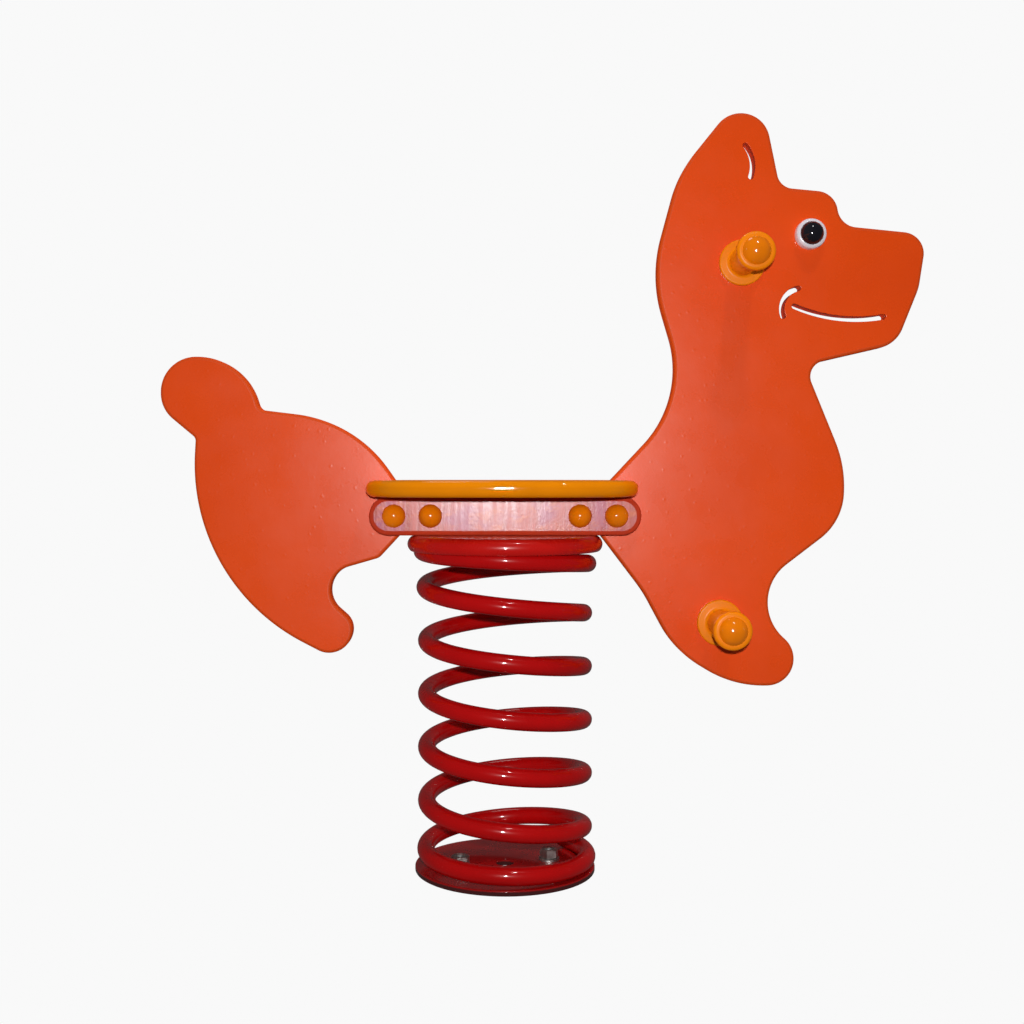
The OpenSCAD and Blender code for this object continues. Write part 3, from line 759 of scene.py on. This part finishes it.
def orange_sheet():
    """Orange panel sheet: pebbled face with raised specks, cloudy colour, rubbed gloss and a dull edge in a
    deeper orange of painted shade.
    """
    material, tree, surface, place = shader("orange_sheet")
    edge = attribute(tree, "edge")
    cloud = ramp(tree, noise(tree, place, 7, 4), ORANGE_DEEP, ORANGE_BRIGHT, 0.25, 0.75)
    fleck = spread(tree, noise(tree, place, 900, 2), 0.0, 0.14, 0.58, 0.80)
    face = mixed(tree, fleck, cloud, ORANGE_FLECK)
    rubbed = spread(tree, noise(tree, place, 26, 4), 0.25, 0.31)
    coat(tree, surface, mixed(tree, edge, face, ORANGE_EDGE_SHADE), raised(tree, rubbed, edge, 0.35),
         (("Specular IOR Level", 0.31), ("Specular Tint", ORANGE_SHEEN)))
    bumped(tree, surface,
           (noise(tree, place, 520, 2), 0.14, 0.0004),
           (noise(tree, place, 60, 3), 0.06, 0.001),
           (dots(tree, place, 85, 0.18), 0.09, 0.0008))
    return material


def rubbed_rail():
    """Rail sheet of a deeper orange with lilac patches of painted reflection, rubbed to a streaky gloss up
    and down its faces inside a dull border.
    """
    material, tree, surface, place = shader("rubbed_rail")
    edge = attribute(tree, "edge")
    streak = noise(tree, stretched(tree, place, (190, 190, 16)), 1, 4)
    blotch = noise(tree, stretched(tree, place, (70, 70, 95)), 1, 3)
    # Lilac patches painted into the rail's colour: a painted reflection of the flash's glare
    glare_patches = noise(tree, stretched(tree, place, (32, 32, 24)), 1, 2)
    deep = ramp(tree, streak, RAIL_DEEP, RAIL_BRIGHT)
    painted_glare = mixed(tree, spread(tree, glare_patches, 0.0, 0.8, 0.48, 0.64), deep, RAIL_PAINTED_GLARE)
    face = mixed(tree, spread(tree, blotch, 0.0, 0.7, 0.55, 0.72), painted_glare, RAIL_ORANGE)
    rubbed = spread(tree, streak, 0.24, 0.36)
    coat(tree, surface, mixed(tree, edge, face, RAIL_EDGE), raised(tree, rubbed, edge, 0.6),
         (("Specular IOR Level", 0.45), ("Specular Tint", RAIL_SHEEN)))
    bumped(tree, surface,
           (streak, 0.30, 0.0004),
           (blotch, 0.12, 0.0004),
           (noise(tree, place, 420, 2), 0.2, 0.0004))
    return material


def yellow_plastic(name, deep, bright, gloss, sheen):
    """Moulded yellow-orange plastic with a gloss, faint flow clouds and a fine skin."""
    material, tree, surface, place = shader(name)
    tone = ramp(tree, noise(tree, place, 14, 3), deep, bright)
    skin = spread(tree, noise(tree, place, 48, 3), gloss, gloss + 0.03)
    coat(tree, surface, tone, skin, (("Specular IOR Level", sheen),))
    bumped(tree, surface,
           (noise(tree, place, 380, 2), 0.06, 0.0003),
           (noise(tree, place, 40, 2), 0.05, 0.001))
    return material


def seat_plastic():
    """Seat of the same plastic: a grained, dull face inside a polished rim."""
    material, tree, surface, place = shader("seat_yellow")
    tone = ramp(tree, noise(tree, place, 14, 3), SEAT_DEEP, SEAT_BRIGHT)
    face = spread(tree, noise(tree, place, 48, 3), 0.78, 0.81)
    skin = raised(tree, face, attribute(tree, "edge"), -0.765)
    coat(tree, surface, tone, skin, (("Specular IOR Level", 0.32),))
    bumped(tree, surface,
           (noise(tree, place, 700, 2), 0.05, 0.0003),
           (noise(tree, place, 40, 2), 0.05, 0.001))
    return material


def red_paint(name, deep, bright, sheen):
    """Red powder coat on steel: an orange-peel skin under a clear gloss, with near-black painted shade and
    dirt where it meets the ground.
    """
    material, tree, surface, place = shader(name)
    tone = ramp(tree, noise(tree, place, 12, 3), deep, bright)
    split = tree.nodes.new("ShaderNodeSeparateXYZ")
    tree.links.new(place, split.inputs["Vector"])
    # Painted shade and dirt: near-black up to 4 mm above the ground, faded out by 6.6 mm
    shade_and_dirt = spread(tree, split.outputs["Z"], 0.92, 0.0, SHADE_AND_DIRT_LOW, SHADE_AND_DIRT_HIGH)
    skin = spread(tree, noise(tree, place, 35, 4), 0.22, 0.34)
    coat(tree, surface, mixed(tree, shade_and_dirt, tone, SHADE_AND_DIRT), skin,
         (("Specular IOR Level", sheen), ("Coat Weight", 0.8), ("Coat Roughness", 0.07)))
    bumped(tree, surface,
           (noise(tree, place, 160, 2), 0.045, 0.0005),
           (noise(tree, place, 30, 2), 0.05, 0.002))
    return material


def zinc_plate():
    """Zinc-plated steel with a dull patchy sheen."""
    material, tree, surface, place = shader("zinc_plate")
    tone = ramp(tree, noise(tree, place, 180, 3), ZINC_DEEP, ZINC_BRIGHT)
    skin = spread(tree, noise(tree, place, 420, 3), 0.38, 0.56)
    coat(tree, surface, tone, skin, (("Metallic", 1),))
    bumped(tree, surface, (noise(tree, place, 900, 2), 0.2, 0.0002))
    return material


def eye_plastic(name, deep, bright, gloss):
    """Hard polished plastic of an eye."""
    material, tree, surface, place = shader(name)
    tone = ramp(tree, noise(tree, place, 90, 2), deep, bright)
    skin = spread(tree, noise(tree, place, 160, 3), gloss, gloss + 0.06)
    coat(tree, surface, tone, skin)
    bumped(tree, surface, (noise(tree, place, 300, 2), 0.04, 0.0003))
    return material


ORANGE = orange_sheet()
RAIL = rubbed_rail()
SEAT_YELLOW = seat_plastic()
CAP_YELLOW = yellow_plastic("cap_yellow", CAP_DEEP, CAP_BRIGHT, gloss=0.13, sheen=0.50)
GRIP_YELLOW = yellow_plastic("grip_yellow", GRIP_DEEP, GRIP_BRIGHT, gloss=0.33, sheen=0.20)
RED = red_paint("red_paint", RED_DEEP, RED_BRIGHT, sheen=0.08)
# The cup's red is a lit copy of the frame's red paint: painted light
CUP_RED_LIT = red_paint("cup_red_lit", CUP_LIT_DEEP, CUP_LIT_BRIGHT, sheen=0.20)
ZINC = zinc_plate()
EYE_WHITE = eye_plastic("eye_white", WHITE_DEEP, WHITE_BRIGHT, gloss=0.20)
EYE_BLACK = eye_plastic("eye_black", BLACK_DEEP, BLACK_BRIGHT, gloss=0.08)


# Pieces

def dress(piece, body, material, slot, *replaced):
    """Gives a piece its material, the nodes it stands for and, if named, its body. The slot is not used."""
    piece.data.materials.append(material)
    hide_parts(*replaced)
    if body:
        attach(piece, body)


def finish_nodes(material, *names):
    """Puts a finish on solids that keep their own shape."""
    for name in names:
        nodes[name].data.materials.clear()
        nodes[name].data.materials.append(material)


def middle_of(node):
    """Middle of a node's box."""
    low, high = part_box(node)
    return (low + high) / 2


def panels():
    """Front panel with the ear, cheek and mouth cut through, and rear panel with its tail and paw."""
    bolts = [(x, BOLT_HEIGHT) for x in (BOLT_INNER_X, BOLT_OUTER_X)]
    pegs = [middle_of(node) for node in ("hand_bolt", "foot_bolt", "eye_bolt")]
    front_holes = bolts + [(peg.x, peg.z - DECK) for peg in pegs]
    rear_holes = [(-x, z) for x, z in bolts]
    front = upright_sheet("front_panel_sheet", rounded_outline(FRONT_OUTLINE), PANEL_EDGE_R, 0, PANEL_T,
                          FACE_SLOTS, front_holes)
    rear = upright_sheet("rear_panel_sheet", rounded_outline(REAR_OUTLINE), PANEL_EDGE_R, 0, PANEL_T,
                         (), rear_holes)
    dress(front, "rider", ORANGE, "panel_orange", "front_panel")
    dress(rear, "rider", ORANGE, "panel_orange", "rear_panel")


def rails():
    """Two straight sheets with half-round ends and four bolt holes each."""
    half = RAIL_HIGH.x
    height = RAIL_HIGH.z - RAIL_LOW.z
    end_r = RAIL_ROUND * height / 2
    corners = np.array([(-half, 0, end_r), (half, 0, end_r), (half, height, end_r), (-half, height, end_r)])
    holes = [(side * x, BOLT_HEIGHT) for side in (-1, 1) for x in (BOLT_INNER_X, BOLT_OUTER_X)]
    for node in ("rail_left", "rail_right"):
        sheet = upright_sheet(node + "_sheet", rounded_outline(corners), RAIL_EDGE_R,
                              middle_of(node).y, RAIL_T, (), holes, RAIL_BORDER)
        dress(sheet, "rider", RAIL, "rail_orange", node)


def seat_board():
    """Seat with rounded corners, a slot at each end for the panels and two stepped holes for the plugs."""
    front, rear, y = SEAT_HIGH.x, SEAT_LOW.x, SEAT_HIGH.y
    thickness = SEAT_HIGH.z - SEAT_LOW.z
    slot_y = PANEL_FACE + SEAT_SLOT_GAP
    front_x, rear_x = NECK_X - 2 * SEAT_SLOT_GAP, -BACK_X + 2 * SEAT_SLOT_GAP
    corners = np.array([
        (front, -y, SEAT_CORNER_R),
        (front, -slot_y, SEAT_MOUTH_R), (front_x, -slot_y, SEAT_ROOT_R),
        (front_x, slot_y, SEAT_ROOT_R), (front, slot_y, SEAT_MOUTH_R),
        (front, y, SEAT_CORNER_R), (rear, y, SEAT_CORNER_R),
        (rear, slot_y, SEAT_MOUTH_R), (rear_x, slot_y, SEAT_ROOT_R),
        (rear_x, -slot_y, SEAT_ROOT_R), (rear, -slot_y, SEAT_MOUTH_R),
        (rear, -y, SEAT_CORNER_R),
    ])
    step_z = thickness - PLUG_DEPTH
    bore_out = PLUG_HOLE_R - BOLT_HOLE_R
    edge = SMALL_EDGE_R
    stepped = edge_rows(
        (bore_out - edge, edge, edge, -90, 0), (bore_out - edge, step_z - edge, edge, 0, 90),
        (edge, step_z + edge, -edge, 270, 180), (-edge, thickness - edge, edge, 0, 90),
    )
    edges = [(rounded_outline(corners), round_edge(SEAT_EDGE_R, thickness))]
    edges += [(hole_outline(side * SEAT_BOLT_X, 0, PLUG_HOLE_R), stepped) for side in (-1, 1)]
    points, faces, normals = flat_piece(edges)
    board = mesh_piece("seat_board", points + np.array((0, 0, SEAT_LOW.z)), faces, normals)
    mark_outline(board, edges[0])
    dress(board, "rider", SEAT_YELLOW, "seat_yellow", "seat")


def seat_plugs():
    """Two flat plugs, flush with the seat's face."""
    points, faces = plug_shape()
    places = [np.array((side * SEAT_BOLT_X, 0, SEAT_HIGH.z - PLUG_T)) for side in (-1, 1)]
    plugs = mesh_piece("seat_plug_discs", *joined([(points + place, faces) for place in places]))
    dress(plugs, "rider", SEAT_YELLOW, "seat_yellow", "seat_plugs")


def base():
    """Base plate with its holes and weld bead, and two chamfered anchor nuts on their washers."""
    turns = (ANCHOR_TURN, ANCHOR_TURN + math.pi)
    places = [ANCHOR_R * np.array((math.cos(turn), math.sin(turn))) for turn in turns]
    small = round_edge(SMALL_EDGE_R, BASE_T)
    edges = [(circle_outline(0, 0, BASE_R), round_edge(BASE_EDGE_R, BASE_T))]
    edges += [(hole_outline(0, 0, CENTRE_HOLE_R), small)]
    edges += [(hole_outline(*place, ANCHOR_HOLE_R), small) for place in places]
    points, faces, normals = flat_piece(edges)
    dress(mesh_piece("base_disc", points, faces, normals), "base", RED, "frame_red", "base_plate")
    dress(mesh_piece("base_weld", *weld_bead()), "base", RED, "frame_red", "base_plate")
    nut, faces = anchor_nut()
    x, y, z = nut.T
    nuts = []
    for turn, place in zip(turns, places):
        turned_x = x * math.cos(turn) - y * math.sin(turn) + place[0]
        turned_y = x * math.sin(turn) + y * math.cos(turn) + place[1]
        nuts.append((np.stack((turned_x, turned_y, z + BASE_T + ANCHOR_WASHER_T), axis=1), faces))
    dress(mesh_piece("anchor_nut_pair", *joined(nuts)), "base", ZINC, "zinc", "anchor_nuts")


def cup():
    """Pressed cup: a flat top with two bolt holes, and a rim of three arcs: inner fillet, lip and bulge.

    The lip's circle touches the inner wall and the bulge from inside."""
    wall = -CUP_WALL
    bulge_out, bulge_up = -CUP_RIM_R, CUP_T - CUP_RIM_R
    lip_out = wall + CUP_LIP_R
    lip_up = bulge_up - math.sqrt((CUP_RIM_R - CUP_LIP_R) ** 2 - (lip_out - bulge_out) ** 2)
    touch = math.degrees(math.atan2(lip_up - bulge_up, lip_out - bulge_out))
    bulge = [(bulge_out, bulge_up, CUP_RIM_R, touch + (90 - touch) * start, touch + (90 - touch) * end)
             for start, end in BULGE_RUNS]
    rim = edge_rows(
        (wall - CUP_FILLET_R, -CUP_FILLET_R, -CUP_FILLET_R, 90, 0),
        (lip_out, lip_up, CUP_LIP_R, 180, 360 + touch),
        *bulge,
    )
    bore = round_edge(SMALL_EDGE_R, CUP_T)
    edges = [(circle_outline(0, 0, CUP_R), rim)]
    edges += [(hole_outline(side * SEAT_BOLT_X, 0, BOLT_HOLE_R), bore) for side in (-1, 1)]
    points, faces, normals = flat_piece(edges)
    piece = mesh_piece("cup_pressing", points + np.array((0, 0, DECK - CUP_T)), faces, normals)
    dress(piece, "rider", CUP_RED_LIT, "frame_red", "upper_cup")


def spring():
    """The spring's bar in two pieces that meet at its middle."""
    middle = TURNS / 2
    lower = mesh_piece("spring_lower", *spring_bar(-BASE_SEAT, middle, True, False))
    upper = mesh_piece("spring_upper", *spring_bar(middle, TURNS + TOP_SEAT, False, True))
    dress(lower, None, RED, "frame_red", "spring")
    dress(upper, None, RED, "frame_red", "spring")
    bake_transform(lower)
    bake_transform(upper)


def grips_and_caps():
    """Hand grips, foot pegs, every dome cap and the eyes, each turned to the side that it stands on."""
    for node in ("hand_grip_left", "hand_grip_right", "foot_peg_left", "foot_peg_right"):
        middle = middle_of(node)
        side = math.copysign(1, middle.y)
        place = (middle.x, side * PANEL_FACE, middle.z)
        grip = mesh_piece(node + "_turned", *pointing(grip_shape(), place, side))
        dress(grip, "rider", GRIP_YELLOW, "grip_yellow", node)
    hand, foot, eye = (middle_of(node) for node in ("hand_caps", "foot_caps", "eye_pupils"))
    rail_bolts = [(turn * x, DECK + BOLT_HEIGHT) for turn in (-1, 1) for x in (BOLT_INNER_X, BOLT_OUTER_X)]
    sets = (
        ("rail_caps", CAP_R, rail_bolts, RAIL_FACE, CAP_YELLOW, "grip_yellow"),
        ("hand_caps", GRIP_CAP_R, [(hand.x, hand.z)], PANEL_FACE + GRIP_L, CAP_YELLOW, "grip_yellow"),
        ("foot_caps", GRIP_CAP_R, [(foot.x, foot.z)], PANEL_FACE + GRIP_L, CAP_YELLOW, "grip_yellow"),
        ("eye_pupils", CAP_R, [(eye.x, eye.z)], PANEL_FACE + EYE_T, EYE_BLACK, "eye_black"),
    )
    for node, r, places, y, material, slot in sets:
        domes = [pointing(cap_shape(r), (x, side * y, z), side) for x, z in places for side in (-1, 1)]
        dress(mesh_piece(node + "_domes", *joined(domes)), "rider", material, slot, node)
    whites = [pointing(eye_shape(), (eye.x, side * PANEL_FACE, eye.z), side) for side in (-1, 1)]
    dress(mesh_piece("eye_white_rings", *joined(whites)), "rider", EYE_WHITE, "eye_white", "eye_whites")


panels()
rails()
seat_board()
seat_plugs()
base()
cup()
spring()
grips_and_caps()
finish_nodes(RED, "saddle_tube")
finish_nodes(ZINC, "anchor_washers", "seat_bolts", "seat_washers", "seat_nuts")
finish_nodes(ZINC, "rail_bolts", "rail_washers", "rail_nuts", "eye_bolt", "eye_washers", "eye_nut")
finish_nodes(ZINC, "hand_bolt", "hand_washers", "hand_nut", "foot_bolt", "foot_washers", "foot_nut")


# Stage, light and camera

def cove():
    """Round pale floor that bends up into a wall all round: a floor, a quarter circle and a wall, turned.

    A fan closes the floor's middle."""
    rings = profile(
        (COVE_MIDDLE_R, 0), (COVE_FLOOR_R, 0),
        (COVE_FLOOR_R, COVE_BEND_R, COVE_BEND_R, 270, 360, COVE_STEPS),
        (COVE_FLOOR_R + COVE_BEND_R, COVE_TOP),
    )
    middle = np.zeros((1, 3))
    points = np.concatenate((ring_points(rings), middle)) - np.array((0, 0, COVE_DROP))
    column = np.arange(ROUND_SIDES)
    pole = np.full(ROUND_SIDES, len(rings) * ROUND_SIDES)
    fan = np.stack((column, (column + 1) % ROUND_SIDES, pole), axis=1)
    faces = grid_faces(len(rings), ROUND_SIDES)[:, ::-1].tolist() + fan.tolist()
    return mesh_piece("studio_cove", points, faces)


def stage_paper():
    """Plain pale paper that glows evenly."""
    material, _, surface, _ = shader("stage_paper")
    surface.inputs["Base Color"].default_value = (0, 0, 0, 1)
    surface.inputs["Roughness"].default_value = 1
    surface.inputs["Specular IOR Level"].default_value = 0
    surface.inputs["Emission Color"].default_value = (1, 1, 1, 1)
    surface.inputs["Emission Strength"].default_value = PAPER_GLOW
    return material


def lamp_object(name, kind, place, target, energy):
    """A lamp at a place that faces its target."""
    light = bpy.data.lights.new(name, kind)
    light.energy = energy
    lamp = bpy.data.objects.new(name, light)
    lamp.location = place
    lamp.rotation_euler = (Vector(target) - Vector(place)).to_track_quat("-Z", "Y").to_euler()
    lamp.visible_camera = False
    bpy.context.scene.collection.objects.link(lamp)
    return lamp


def round_lamp(name, place, target, power, size):
    """Round soft light that faces its target."""
    light = lamp_object(name, "AREA", place, target, power).data
    light.shape = "DISK"
    light.size = size


def fill_light(name, place, strength):
    """Parallel soft light for the sides that the flash leaves dark, without highlights of its own."""
    lamp = lamp_object(name, "SUN", place, (0, 0, 0), strength)
    lamp.data.angle = FILL_ANGLE
    lamp.visible_glossy = False


backdrop = cove()
backdrop.data.materials.append(stage_paper())
backdrop.visible_diffuse = False
backdrop.visible_glossy = False
backdrop.visible_shadow = False

world = bpy.data.worlds.new("studio_world")
world.use_nodes = True
world.node_tree.nodes["Background"].inputs["Color"].default_value = (1, 1, 1, 1)
world.node_tree.nodes["Background"].inputs["Strength"].default_value = WORLD_GLOW
bpy.context.scene.world = world
bpy.context.scene.view_settings.view_transform = "Standard"

for lamp_row in ROUND_LAMPS:
    round_lamp(*lamp_row)
for light_row in FILL_LIGHTS:
    fill_light(*light_row)

camera = bpy.data.objects.new("camera", bpy.data.cameras.new("camera"))
camera.location = CAMERA_PLACE
camera.rotation_euler = (math.pi / 2, 0, 0)
camera.data.sensor_width = SENSOR
camera.data.lens = SENSOR * LENS_PX / PICTURE
camera.data.shift_x = 0.5 - AIM_PX[0] / PICTURE
camera.data.shift_y = AIM_PX[1] / PICTURE - 0.5
bpy.context.scene.collection.objects.link(camera)
bpy.context.scene.camera = camera
